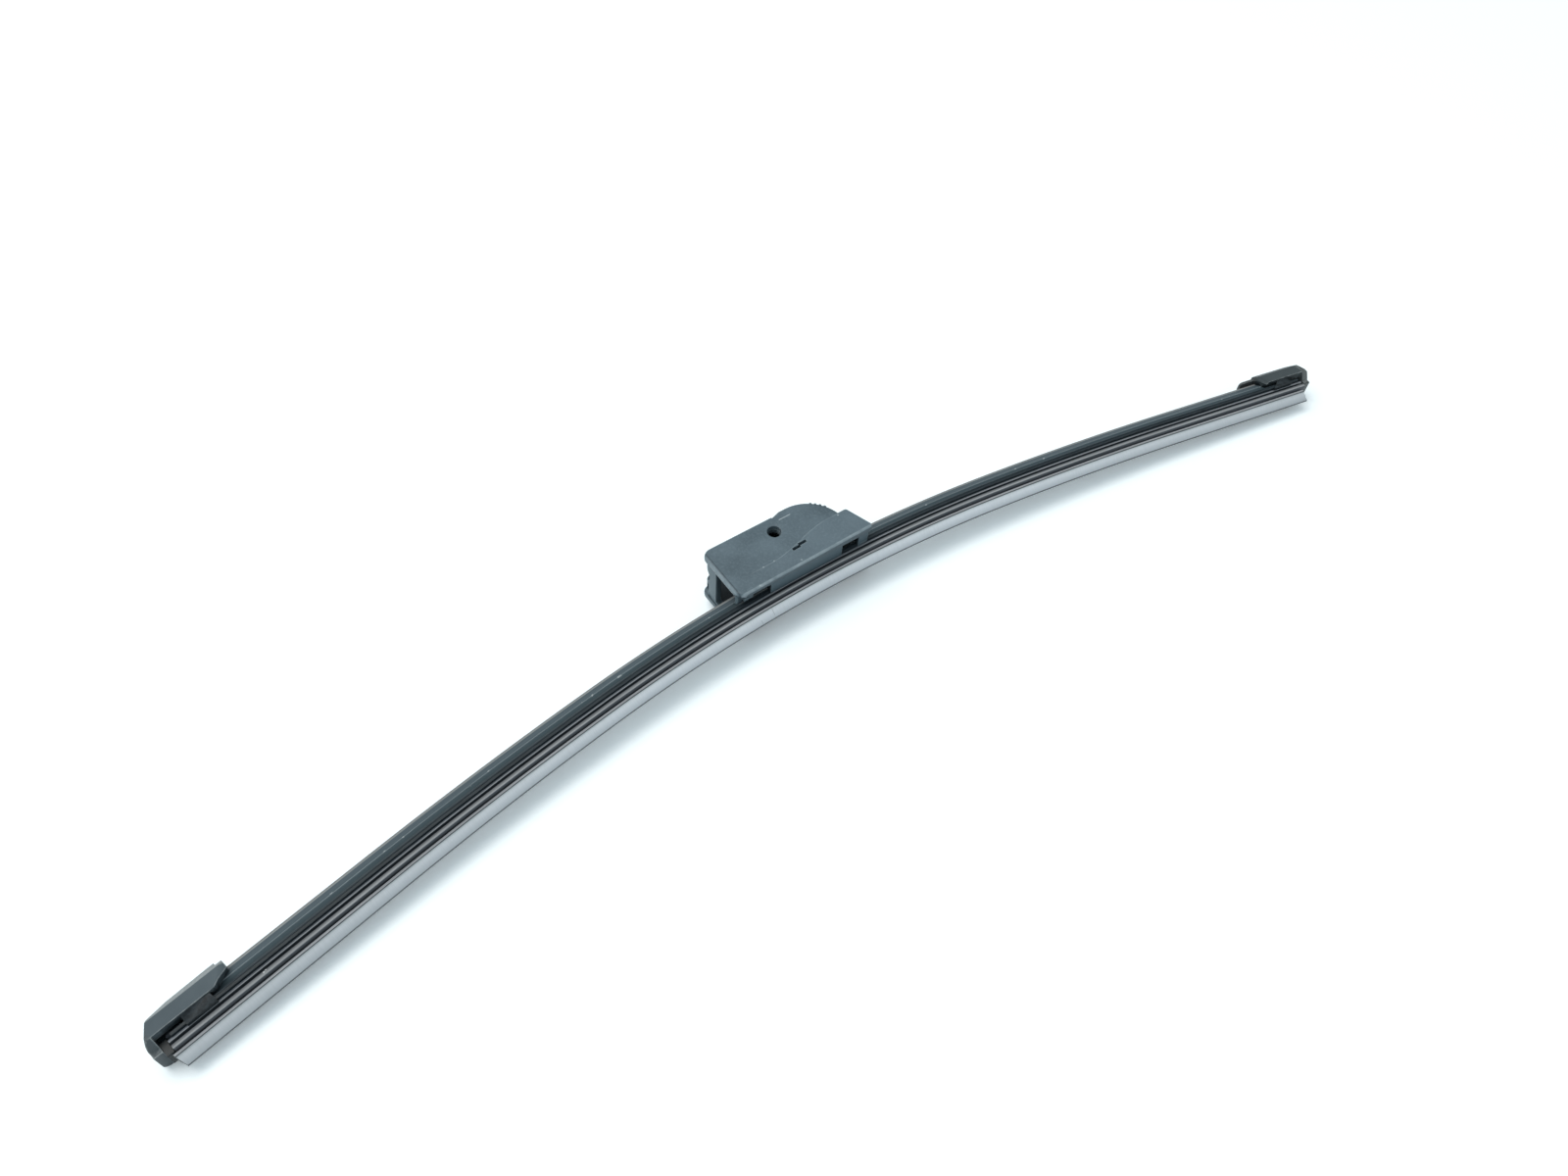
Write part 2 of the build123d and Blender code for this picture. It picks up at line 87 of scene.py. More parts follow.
RUBBER_ROUGHNESS = 0.6
RUBBER_SPECULAR = 0.25
WIPING_EDGE_BLACK = (0.09, 0.097, 0.105)
LIP_FOOT_GREY = (0.44, 0.475, 0.51)
LIP_LOWER_GREY = (0.525, 0.56, 0.6)
LIP_MIDDLE_GREY = (0.665, 0.69, 0.73)
LIP_UPPER_GREY = (0.665, 0.69, 0.72)
LIP_ROOT_GREY = (0.5, 0.535, 0.555)
LIP_CREASE_SHADE = (0.012, 0.013, 0.016)
SHOULDER_GREY = (0.36, 0.37, 0.39)
NECK_SHADE = (0.05, 0.057, 0.072)
RIB_EDGE_HIGHLIGHT = (0.36, 0.365, 0.375)
RIB_LOWER_GREY = (0.34, 0.345, 0.355)
RIB_MIDDLE_GREY = (0.2, 0.205, 0.215)
RIB_UPPER_SHADE = (0.085, 0.095, 0.105)
WAIST_SHADE = (0.06, 0.07, 0.082)
FLANGE_EDGE_HIGHLIGHT = (0.42, 0.44, 0.47)
FLANGE_LOWER_GREY = (0.28, 0.29, 0.31)
FLANGE_MIDDLE_BLACK = (0.16, 0.175, 0.195)
FLANGE_UPPER_SHADE = (0.1, 0.115, 0.135)
# Bands up the section paint light and shade: black at the lip's crease, the neck, the waist and the upper
# ends of the rib and flange faces is painted shade in the grooves; pale lines at the shoulder and the lower
# edges of the rib and flange are painted highlights; the lip's light grey is partly coating and partly
# painted sheen.
RUBBER_BANDS = (
    (0.03, WIPING_EDGE_BLACK),
    (0.1, LIP_FOOT_GREY),
    (0.9, LIP_LOWER_GREY),
    (2.0, LIP_MIDDLE_GREY),
    (2.55, LIP_UPPER_GREY),
    (LIP_TOP - 0.07, LIP_ROOT_GREY),
    (LIP_TOP + 0.01, LIP_CREASE_SHADE),
    (LIP_TOP + 0.13, SHOULDER_GREY),
    (SHOULDER_TOP - 0.15, SHOULDER_GREY),
    (SHOULDER_TOP - 0.02, NECK_SHADE),
    (RIB_BOTTOM, NECK_SHADE),
    (RIB_BOTTOM + 0.05, RIB_EDGE_HIGHLIGHT),
    (RIB_BOTTOM + 0.25, RIB_LOWER_GREY),
    (RIB_BOTTOM + 0.65, RIB_MIDDLE_GREY),
    (RIB_TOP - 0.15, RIB_UPPER_SHADE),
    (RIB_TOP, WAIST_SHADE),
    (FLANGE_BOTTOM, WAIST_SHADE),
    (FLANGE_BOTTOM + 0.05, FLANGE_EDGE_HIGHLIGHT),
    (FLANGE_BOTTOM + 0.22, FLANGE_LOWER_GREY),
    (FLANGE_BOTTOM + 0.4, FLANGE_MIDDLE_BLACK),
    (FLANGE_TOP, FLANGE_UPPER_SHADE),
)
# A fade is two values, then the share at the first and at the second, which are 0 and 1 if not given.
LIP_FOOT_FADE = (0.05, 0.15)
LIP_TOP_FADE = (LIP_TOP - 0.05, LIP_TOP + 0.05)
DULL_ENDS_FADE = (80.0, 250.0, 0.0, 0.32)
DULL_ENDS_GREY = (0.28, 0.29, 0.3)
CROSS_GRAIN = (5200.0, 260.0, 260.0)
CROSS_FADE = (0.4, 0.8, 0.0, 0.16)
CROSS_GREY = (0.3, 0.32, 0.33)
CROSS_RELIEF = (0.15, 0.06)
RUBBER_DRAW_GRAIN = (40.0, 2600.0, 2600.0)
RUBBER_DRAW_FADE = (0.4, 0.75, 0.0, 0.35)
RUBBER_DRAW_BLACK = (0.02, 0.02, 0.022)
RIB_SPECKS = ((-220.9, 5.3), (-220.1, 5.7))
RIB_SPECK_SIZE = 0.32
RIB_SPECK_SIDE = (0.0, 1.0)
RIB_SPECK_GREY = (0.46, 0.48, 0.49)
LIP_MARKS = ((-19.0, 0.9, 2.8), (-24.8, 0.3, 1.2))
LIP_MARK_HALF = 0.08
LIP_MARK_SIDE_BORDER = 0.12
LIP_MARK_END_BORDER = 0.3
LIP_MARK_SHARE = 0.45
LIP_MARK_GREY = (0.2, 0.22, 0.23)
CUT_END_FADE = (BLADE_HALF - 0.08, BLADE_HALF - 0.02, 0.0, 0.85)
CUT_END_BLACK = (0.035, 0.038, 0.042)
RAGGED_GRAIN = 2200.0
RAGGED_REACH = 0.7


def bow(along):
    """Lip line at a place along the blade: each arc adds its radius times the change of sine and cosine."""
    left = np.abs(along)
    x = np.zeros_like(left)
    y = np.zeros_like(left)
    turned = np.zeros_like(left)
    for reach, radius in BOW_ARCS:
        step = np.minimum(left, reach)
        after = turned + step / radius
        x += radius * (np.sin(after) - np.sin(turned))
        y += radius * (np.cos(after) - np.cos(turned))
        turned = after
        left = left - step
    x += left * np.cos(turned)
    y -= left * np.sin(turned)
    side = np.sign(along)
    return side * x, y, side * turned


def laid(along, height, width):
    """Blade measures to the table: along the bow's normal, across, then turned on its side and lifted."""
    x, y, turned = bow(along)
    x = x + height * np.sin(turned)
    y = y + height * np.cos(turned)
    row_y = y * np.cos(REST_TURN) - width * np.sin(REST_TURN)
    row_z = y * np.sin(REST_TURN) + width * np.cos(REST_TURN)
    return (np.stack([x, row_y, row_z], axis=-1) + REST_SHIFT) * MM


def softened(corners, reach):
    """Each corner becomes a quadratic curve from a little before it to a little after it."""
    back = np.roll(corners, 1, axis=0) - corners
    ahead = np.roll(corners, -1, axis=0) - corners
    start = corners + back / np.linalg.norm(back, axis=1, keepdims=True) * reach
    end = corners + ahead / np.linalg.norm(ahead, axis=1, keepdims=True) * reach
    t = np.linspace(0.0, 1.0, CORNER_STEPS)[None, :, None]
    curve = (1 - t) ** 2 * start[:, None] + 2 * t * (1 - t) * corners[:, None] + t ** 2 * end[:, None]
    return curve.reshape(-1, 2)


def both_sides(half):
    """Half outline in height, width and corner reach, with its mirror image, walked anticlockwise."""
    half = np.array(half)
    other = half[::-1] * (1, -1, 1)
    whole = np.concatenate([half, other])[::-1]
    return softened(whole[:, :2], whole[:, 2:])


def made_piece(name, mesh, measures, sharp_angle, look):
    """Mesh made a piece of the blade: points keep their measures, edges bent past an angle stay sharp."""
    mesh.attributes.new("blade", "FLOAT_VECTOR", "POINT").data.foreach_set("vector", measures.ravel())
    mesh.polygons.foreach_set("use_smooth", np.ones(len(mesh.polygons), bool))
    mesh.set_sharp_from_angle(angle=sharp_angle)
    mesh.materials.clear()
    mesh.materials.append(look)
    piece = bpy.data.objects.new(name, mesh)
    bpy.context.scene.collection.objects.link(piece)
    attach(piece, "root")
    return piece


def strip(name, outline, stations, look, lean=0.0):
    """Outline carried along the bow: every point at every station, closed by end faces that may lean."""
    count, around = len(stations), len(outline)
    along = np.repeat(stations[:, None], around, axis=1)
    height = np.repeat(outline[None, :, 0], count, axis=0)
    width = np.repeat(outline[None, :, 1], count, axis=0)
    leaned = along.copy()
    leaned[[0, -1]] -= lean
    points = laid(leaned, height, width).reshape(-1, 3)
    ring = np.arange(count - 1)[:, None] * around
    here = ring + np.arange(around)
    there = ring + np.roll(np.arange(around), -1)
    quads = np.stack([here, there, there + around, here + around], axis=-1).reshape(-1, 4)
    first = np.arange(around)[::-1]
    last = np.arange(around) + (count - 1) * around
    mesh = bpy.data.meshes.new(name)
    mesh.from_pydata(points.tolist(), [], [*quads.tolist(), first.tolist(), last.tolist()])
    measures = np.stack([along, height, width], axis=-1).reshape(-1, 3) * MM
    return made_piece(name, mesh, measures, STRIP_SHARP_ANGLE, look)


def finish(name, roughness, specular):
    """Fresh material with one principled shader, whose constants sit on its own sockets."""
    material = bpy.data.materials.new(name)
    material.use_nodes = True
    shader = material.node_tree.nodes["Principled BSDF"]
    shader.inputs["Roughness"].default_value = roughness
    shader.inputs["Specular IOR Level"].default_value = specular
    return material, material.node_tree, shader


def add(tree, kind, inputs=None, **settings):
    """New node with its settings, then its inputs: a socket is linked, anything else is set as a value."""
    node = tree.nodes.new(kind)
    for key, value in settings.items():
        setattr(node, key, value)
    for key, value in (inputs or {}).items():
        if isinstance(value, bpy.types.NodeSocket):
            tree.links.new(value, node.inputs[key])
        else:
            node.inputs[key].default_value = value
    return node


def measures_of(tree):
    """Blade measures of a surface point: the whole vector, and its place along, its height and its width."""
    blade = add(tree, "ShaderNodeAttribute", attribute_name="blade").outputs["Vector"]
    along, height, width = add(tree, "ShaderNodeSeparateXYZ", {0: blade}).outputs
    return SimpleNamespace(blade=blade, along=along, height=height, width=width)


def noise(tree, vector, grain, detail=3.0):
    """Noise from 0 to 1: grain is its waves per metre, one number for all axes or one number for each."""
    waves = np.broadcast_to(grain, 3).tolist()
    place = add(tree, "ShaderNodeMapping", {"Vector": vector, "Scale": waves}).outputs[0]
    return add(tree, "ShaderNodeTexNoise", {"Vector": place, "Scale": 1.0, "Detail": detail}).outputs[0]


def maths(tree, operation, first, second=0.0):
    """One sum on two values, such as their product, their difference or the greater of them."""
    return add(tree, "ShaderNodeMath", {0: first, 1: second}, operation=operation).outputs[0]


def vector_maths(tree, operation, *values):
    """One sum on vectors, such as adding them, or multiplying two and adding a third."""
    return add(tree, "ShaderNodeVectorMath", dict(enumerate(values)), operation=operation).outputs


def times(tree, share, *others):
    """Product of shares, taken one after another."""
    for other in others:
        share = maths(tree, "MULTIPLY", share, other)
    return share


def ranged(tree, value, low, high, to_low=0.0, to_high=1.0):
    """Value taken from one range to another and held at its ends."""
    return add(tree, "ShaderNodeMapRange", {0: value, 1: low, 2: high, 3: to_low, 4: to_high}).outputs[0]


def faded(tree, measure, low, high, to_low=0.0, to_high=1.0):
    """Share that changes evenly between two measures in mm and is held outside them."""
    return ranged(tree, measure, low * MM, high * MM, to_low, to_high)


def within(tree, measure, low, high, border):
    """Share of 1 between two measures in mm, fading out over a soft border."""
    rising = faded(tree, measure, low - border, low)
    return times(tree, rising, faded(tree, measure, high, high + border, 1.0, 0.0))


def ramp(tree, value, stops):
    """Colour by value: stops are a place from 0 to 1 and a tone."""
    node = add(tree, "ShaderNodeValToRGB", {"Fac": value})
    points = node.color_ramp.elements
    for place, _ in stops[2:]:
        points.new(place)
    for point, (place, tone) in zip(points, stops):
        point.position = place
        point.color = (*tone, 1.0)
    return node.outputs[0]


def bands(tree, height, low, high, stops):
    """Colour by height up a section: stops are a height in mm and a tone, between a low and a high end."""
    places = [((stop - low) / (high - low), tone) for stop, tone in stops]
    return ramp(tree, faded(tree, height, low, high), places)


def mixed(tree, share, colour, tone):
    """Colour mixed with a tone by a share; a mix node's colours go in at 6 and 7 and come out at 2."""
    tone = tone if isinstance(tone, bpy.types.NodeSocket) else (*tone, 1.0)
    return add(tree, "ShaderNodeMix", {0: share, 6: colour, 7: tone}, data_type="RGBA").outputs[2]


def relief(tree, shader, height, strength, depth):
    """Relief from a height, of a strength and a depth in mm."""
    node = add(tree, "ShaderNodeBump", {"Height": height, "Strength": strength, "Distance": depth * MM})
    tree.links.new(node.outputs[0], shader.inputs["Normal"])


def nicks(tree, surface, spots, size):
    """Small ragged marks: the greatest share over all spots, each fading with the distance from it."""
    flat = add(tree, "ShaderNodeCombineXYZ", {0: surface.along, 1: surface.height}).outputs[0]
    waves = {"Vector": flat, "Scale": RAGGED_GRAIN, "Detail": 2.0}
    uneven = add(tree, "ShaderNodeTexNoise", waves).outputs["Color"]
    reach = RAGGED_REACH * MM
    shift = vector_maths(tree, "MULTIPLY_ADD", uneven, (reach, reach, 0.0), (-reach / 2, -reach / 2, 0.0))[0]
    ragged = vector_maths(tree, "ADD", flat, shift)[0]
    share = 0.0
    for along, height in spots:
        gap = vector_maths(tree, "DISTANCE", ragged, (along * MM, height * MM, 0.0))["Value"]
        share = maths(tree, "MAXIMUM", faded(tree, gap, size / 2, size, 1.0, 0.0), share)
    return share


def rubber_finish():
    """Painted light and shade in bands up the section, cross grain and marks on the lip, draw lines above
    it, dark cut ends.
    """
    material, tree, shader = finish("wiper_rubber", RUBBER_ROUGHNESS, RUBBER_SPECULAR)
    surface = measures_of(tree)
    colour = bands(tree, surface.height, 0.0, HEAD_TOP, RUBBER_BANDS)
    above_lip = faded(tree, surface.height, *LIP_TOP_FADE)
    below_top = faded(tree, surface.height, *LIP_TOP_FADE, 1.0, 0.0)
    on_lip = times(tree, faded(tree, surface.height, *LIP_FOOT_FADE), below_top)
    from_middle = maths(tree, "ABSOLUTE", surface.along)
    dull = times(tree, on_lip, faded(tree, from_middle, *DULL_ENDS_FADE))
    colour = mixed(tree, dull, colour, DULL_ENDS_GREY)
    across = noise(tree, surface.blade, CROSS_GRAIN, detail=1.0)
    colour = mixed(tree, times(tree, on_lip, ranged(tree, across, *CROSS_FADE)), colour, CROSS_GREY)
    drawn = noise(tree, surface.blade, RUBBER_DRAW_GRAIN, detail=4.0)
    lines = times(tree, above_lip, ranged(tree, drawn, *RUBBER_DRAW_FADE))
    colour = mixed(tree, lines, colour, RUBBER_DRAW_BLACK)
    specks = nicks(tree, surface, RIB_SPECKS, RIB_SPECK_SIZE)
    specks = times(tree, specks, faded(tree, surface.width, *RIB_SPECK_SIDE))
    colour = mixed(tree, specks, colour, RIB_SPECK_GREY)
    for place, low, high in LIP_MARKS:
        sides = (place - LIP_MARK_HALF, place + LIP_MARK_HALF, LIP_MARK_SIDE_BORDER)
        line = times(
            tree,
            within(tree, surface.along, *sides),
            within(tree, surface.height, low, high, LIP_MARK_END_BORDER),
            LIP_MARK_SHARE,
        )
        colour = mixed(tree, line, colour, LIP_MARK_GREY)
    colour = mixed(tree, faded(tree, from_middle, *CUT_END_FADE), colour, CUT_END_BLACK)
    tree.links.new(colour, shader.inputs["Base Color"])
    relief(tree, shader, across, *CROSS_RELIEF)
    return material


rubber_half = [
    (0.0, WIPING_EDGE_HALF, WIPING_EDGE_ROUND),
    (LIP_TOP, LIP_ROOT_HALF, LIP_ROOT_ROUND),
    (LIP_TOP, SHOULDER_HALF, SHOULDER_ROUND),
    (SHOULDER_TOP, SHOULDER_HALF, SHOULDER_ROUND),
    (SHOULDER_TOP, NECK_HALF, NECK_ROUND),
    (RIB_BOTTOM, NECK_HALF, NECK_ROUND),
    (RIB_BOTTOM, RIB_HALF, RIB_LOWER_ROUND),
    (RIB_TOP, RIB_HALF, RIB_UPPER_ROUND),
    (RIB_TOP, WAIST_HALF, FLANGE_ROUND),
    (FLANGE_BOTTOM, WAIST_HALF, FLANGE_ROUND),
    (FLANGE_BOTTOM, FLANGE_HALF, FLANGE_ROUND),
    (FLANGE_TOP, FLANGE_HALF, FLANGE_ROUND),
    (FLANGE_TOP, STEM_HALF, HEAD_ROUND),
    (HEAD_BOTTOM, STEM_HALF, HEAD_ROUND),
    (HEAD_BOTTOM, HEAD_HALF, HEAD_ROUND),
    (HEAD_TOP, HEAD_TOP_HALF, HEAD_ROUND),
]
rubber_outline = both_sides(rubber_half)
rubber_outline[:, 1] -= LIP_DROOP * np.maximum(RIB_BOTTOM - rubber_outline[:, 0], 0.0)
lip_lean = np.where(rubber_outline[:, 0] < LIP_CUT_TOP, LIP_CUT * rubber_outline[:, 0], 0.0)
rubber_stations = np.linspace(-BLADE_HALF, BLADE_HALF, RUBBER_STATIONS)
rubber = strip("squeegee", rubber_outline, rubber_stations, rubber_finish(), lip_lean)
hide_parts("wiper_rubber")

# Rails: two strips of black-coated spring steel that lie on the rubber's flange, one each side of its
# stem. Only their outer edges show, as a dark line under the spoiler.
RAIL_ROUGHNESS = 0.45
RAIL_SPECULAR = 0.2
RAIL_GRAIN = (80.0, 3000.0, 3000.0)
RAIL_TONES = ((0.35, (0.012, 0.018, 0.022)), (0.75, (0.034, 0.046, 0.055)))
RAIL_RELIEF = (0.1, 0.05)


def rail_finish():
    """Black coating with fine lengthwise rub marks where the spoiler was slid on."""
    material, tree, shader = finish("rail_coating", RAIL_ROUGHNESS, RAIL_SPECULAR)
    place = add(tree, "ShaderNodeTexCoord").outputs["Object"]
    rubbed = noise(tree, place, RAIL_GRAIN, detail=4.0)
    tree.links.new(ramp(tree, rubbed, RAIL_TONES), shader.inputs["Base Color"])
    relief(tree, shader, rubbed, *RAIL_RELIEF)
    return material


coating = rail_finish()
for name in ("rail_upper", "rail_lower"):
    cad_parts[name].data.materials.clear()
    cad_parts[name].data.materials.append(coating)

# Spoiler: a soft black plastic extrusion in two lengths, pushed over the rubber's head from each end.
# Its hollow lower flank, the ridge bead and the narrow crown are all part of the same profile.
FOOT_BOTTOM = 8.76
FOOT_TOP = 9.16
FOOT_HALF = 5.6
HOOK_TOP = 9.56
MOUTH_HALF = 1.08
SLOT_HALF = 2.68
SLOT_TOP = 11.0
SLOT_TOP_HALF = 1.78
RIDGE = 12.7
RIDGE_HALF = 2.85
BEAD = 0.22
BEAD_FOOT_HALF = 2.63
FLANK_HOLLOW = 0.55
FLANK_REACH = (0.12, 0.94)
FLANK_POINTS = 9
APEX = 16.76
CROWN_RADIUS = 1.1
CROWN_TURN = 1.5
CROWN_POINTS = 6
SLOT_ROUND = 0.05
FOOT_ROUND = 0.1
CURVE_ROUND = 0.02
BEAD_ROUND = 0.05
RIDGE_ROUND = 0.1
SPOILER_INNER = 0.2
SPOILER_OUTER = 239.5
SPOILER_STATIONS = 118

SPOILER_ROUGHNESS = 0.5
SPOILER_SPECULAR = 0.2
PALE_RIDGE_GREY = (0.18, 0.215, 0.235)
# The hollow lower flank darkens towards its foot as painted shade under the ridge bead, and the pale band
# just below the crown is a painted highlight.
SPOILER_BANDS = (
    (9.1, (0.02, 0.03, 0.037)),
    (10.0, (0.026, 0.038, 0.046)),
    (11.5, (0.042, 0.062, 0.073)),
    (RIDGE - 0.3, (0.044, 0.066, 0.078)),
    (RIDGE - 0.1, PALE_RIDGE_GREY),
    (RIDGE + 0.12, PALE_RIDGE_GREY),
    (RIDGE + 0.3, (0.075, 0.1, 0.117)),
    (15.2, (0.068, 0.09, 0.105)),
    (15.6, (0.26, 0.275, 0.28)),
    (16.0, (0.24, 0.25, 0.25)),
    (16.2, (0.13, 0.13, 0.128)),
    (16.45, (0.175, 0.163, 0.153)),
)
SPOILER_DRAW_GRAIN = (30.0, 3000.0, 3000.0)
SPOILER_DRAW_FADE = (0.4, 0.75, 0.0, 0.25)
SPOILER_DRAW_BLACK = (0.02, 0.028, 0.032)
RIDGE_SPECK_GRAIN = 420.0
RIDGE_SPECK_FADE = (0.7, 0.73, 0.0, 0.8)
RIDGE_SPECK_START = (RIDGE - 0.4, RIDGE - 0.1)
RIDGE_SPECK_END = (RIDGE + 0.2, RIDGE + 0.6, 1.0, 0.0)
RIDGE_SPECK_GREY = (0.5, 0.53, 0.54)
SPOILER_GRAIN = 3200.0
SPOILER_RELIEF = (0.1, 0.06)


def spoiler_half():
    """Hooks, foot, hollow flank as an arc through its sagitta, ridge bead, upper flank and round crown."""
    slot = [
        (SLOT_TOP, SLOT_TOP_HALF, SLOT_ROUND),
        (HOOK_TOP, SLOT_HALF, SLOT_ROUND),
        (HOOK_TOP, MOUTH_HALF, SLOT_ROUND),
        (FOOT_BOTTOM, MOUTH_HALF, SLOT_ROUND),
    ]
    foot = [(FOOT_BOTTOM, FOOT_HALF, FOOT_ROUND), (FOOT_TOP, FOOT_HALF, FOOT_ROUND)]
    start = np.array((FOOT_TOP, FOOT_HALF))
    run = np.array((RIDGE - BEAD, BEAD_FOOT_HALF)) - start
    share = np.linspace(*FLANK_REACH, FLANK_POINTS)
    inward = run[::-1] * (1, -1) / np.linalg.norm(run)
    hollow = start + share[:, None] * run + inward * (4 * FLANK_HOLLOW * share * (1 - share))[:, None]
    flank = [(*point, CURVE_ROUND) for point in hollow]
    bead = [
        (RIDGE - BEAD, BEAD_FOOT_HALF, BEAD_ROUND),
        (RIDGE, RIDGE_HALF, RIDGE_ROUND),
        (RIDGE + BEAD, BEAD_FOOT_HALF, BEAD_ROUND),
    ]
    turn = np.linspace(0.0, CROWN_TURN, CROWN_POINTS)
    crown_height = APEX - CROWN_RADIUS + CROWN_RADIUS * np.sin(turn)
    crown = [(*point, CURVE_ROUND) for point in zip(crown_height, CROWN_RADIUS * np.cos(turn))]
    return [*slot, *foot, *flank, *bead, *crown]


def spoiler_finish():
    """Satin black, painted shade down the hollow flank, a paler ridge with specks along it, a painted
    highlight under a warm crown and lengthwise draw lines.
    """
    material, tree, shader = finish("spoiler_plastic", SPOILER_ROUGHNESS, SPOILER_SPECULAR)
    surface = measures_of(tree)
    colour = bands(tree, surface.height, FOOT_BOTTOM, APEX, SPOILER_BANDS)
    drawn = noise(tree, surface.blade, SPOILER_DRAW_GRAIN)
    colour = mixed(tree, ranged(tree, drawn, *SPOILER_DRAW_FADE), colour, SPOILER_DRAW_BLACK)
    on_ridge = times(
        tree,
        faded(tree, surface.height, *RIDGE_SPECK_START),
        faded(tree, surface.height, *RIDGE_SPECK_END),
    )
    specks = ranged(tree, noise(tree, surface.blade, RIDGE_SPECK_GRAIN, detail=1.0), *RIDGE_SPECK_FADE)
    colour = mixed(tree, times(tree, specks, on_ridge), colour, RIDGE_SPECK_GREY)
    tree.links.new(colour, shader.inputs["Base Color"])
    relief(tree, shader, noise(tree, surface.blade, SPOILER_GRAIN, detail=2.0), *SPOILER_RELIEF)
    return material


spoiler_look = spoiler_finish()
for name, side in (("spoiler_left", -1.0), ("spoiler_right", 1.0)):
    near, far = np.sort(np.array([SPOILER_INNER, SPOILER_OUTER]) * side)
    stations = np.linspace(near, far, SPOILER_STATIONS)
    spoiler = strip(name + "_profile", both_sides(spoiler_half()), stations, spoiler_look)
    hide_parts(name)

# Connector base: a moulded black clamp with claws under the rails, two walls with the arm pin's bore,
# and a lintel across its open end, where a short web runs down from each wall.
JOIN_REACH = 0.002
COPY_SHARP_ANGLE = radians(28)
ARM_SPACE_HALF = 8.6
LINTEL_INSIDE = -27.7
WEB_START = -28.3
WEB_END = -24.4
WEB_STATIONS = 9
WEB_LOW = 7.4
WEB_HIGH = 10.1
WEB_IN = 8.5
WEB_OUT = 10.2
WEB_ROUND = 0.3

CLOUD_GRAIN = 70.0
CLOUD_DARK_PLACE = 0.3
CLOUD_LIGHT_PLACE = 0.7
MOULD_GRAIN = 3500.0
MOULD_GRAIN_RANGE = (0.3, 0.7)
MOULD_GLOSS_CHANGE = 0.06
MOULD_RELIEF = (0.15, 0.08)
EDGE_SAMPLES = 6
EDGE_BEND = (0.985, 0.86)
EDGE_PATCH_GRAIN = 420.0
EDGE_PATCH_RANGE = (0.35, 0.65)
EDGE_PATCH_LEAST = 0.15
BASE_ROUGHNESS = 0.45
BASE_SPECULAR = 0.2
BASE_DARK = (0.055, 0.078, 0.092)
BASE_LIGHT = (0.075, 0.1, 0.116)
ARM_SPACE_FADE = (ARM_SPACE_HALF + 0.02, ARM_SPACE_HALF + 0.06, 1.0, 0.0)
LINTEL_FADE = (LINTEL_INSIDE - 0.3, LINTEL_INSIDE)
ARM_SPACE_SHADE = (0.014, 0.019, 0.023)
UNDERSIDE_FADE = (7.2, 7.5, 0.9, 0.0)
UNDERSIDE_LIT_TONE = (0.085, 0.12, 0.142)
END_FACE_FADE = (-29.8, -29.2, 0.85, 0.0)
END_FACE_LIT_TONE = (0.14, 0.185, 0.21)
BASE_RUBBED_AND_HIGHLIT = (0.2, 0.235, 0.25)
BASE_RUBBED_REACH = 0.5
BASE_RUBBED_MOST = 0.7


def measured(points, end):
    """Table points to a piece's own measures: lowered, turned back, then taken from the bow at its end."""
    x, row_y, row_z = (points / MM - REST_SHIFT).T
    y = row_y * np.cos(REST_TURN) + row_z * np.sin(REST_TURN)
    width = row_z * np.cos(REST_TURN) - row_y * np.sin(REST_TURN)
    end_x, end_y, turned = bow(np.array(end))
    along = (x - end_x) * np.cos(turned) - (y - end_y) * np.sin(turned)
    height = (x - end_x) * np.sin(turned) + (y - end_y) * np.cos(turned)
    outward = np.sign(end) if end else 1.0
    return np.stack([along * outward, height, width], axis=-1) * MM


def smooth_copy(node, name, look, end=0.0):
    """CAD node's own surface with its loose triangles joined, so that its rounded edges shade as curves."""
    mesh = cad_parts[node].data.copy()
    mesh.name = name
    joined = bmesh.new()
    joined.from_mesh(mesh)
    bmesh.ops.remove_doubles(joined, verts=joined.verts, dist=JOIN_REACH * MM)
    joined.to_mesh(mesh)
    joined.free()
    points = np.empty(len(mesh.vertices) * 3)
    mesh.vertices.foreach_get("co", points)
    measures = measured(points.reshape(-1, 3), end)
    piece = made_piece(name, mesh, measures, COPY_SHARP_ANGLE, look)
    even = piece.modifiers.new("even_shading", "WEIGHTED_NORMAL")
    even.keep_sharp = True
    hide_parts(node)
    return piece


def moulded(name, dark, light, roughness, specular):
    """Spark-eroded moulding: slow change between two tones, and a fine grain as relief and uneven gloss."""
    material, tree, shader = finish(name, roughness, specular)
    place = add(tree, "ShaderNodeTexCoord").outputs["Object"]
    cloud = noise(tree, place, CLOUD_GRAIN, detail=4.0)
    colour = ramp(tree, cloud, [(CLOUD_DARK_PLACE, dark), (CLOUD_LIGHT_PLACE, light)])
    grain = noise(tree, place, MOULD_GRAIN)
    gloss = (roughness - MOULD_GLOSS_CHANGE, roughness + MOULD_GLOSS_CHANGE)
    tree.links.new(ranged(tree, grain, *MOULD_GRAIN_RANGE, *gloss), shader.inputs["Roughness"])
    relief(tree, shader, grain, *MOULD_RELIEF)
    return material, tree, shader, place, colour


def rubbed_and_highlit_edges(tree, place, colour, pale, reach, most):
    """Edges painted pale in patches, as wear and painted highlight: where a normal rounded over a reach in
    mm leaves the surface's own.
    """
    rounded = add(tree, "ShaderNodeBevel", {"Radius": reach * MM}, samples=EDGE_SAMPLES).outputs[0]
    own = add(tree, "ShaderNodeNewGeometry").outputs["Normal"]
    alike = vector_maths(tree, "DOT_PRODUCT", rounded, own)["Value"]
    patches = noise(tree, place, EDGE_PATCH_GRAIN)
    patchy = ranged(tree, patches, *EDGE_PATCH_RANGE, EDGE_PATCH_LEAST * most, most)
    return mixed(tree, times(tree, ranged(tree, alike, *EDGE_BEND), patchy), colour, pale)


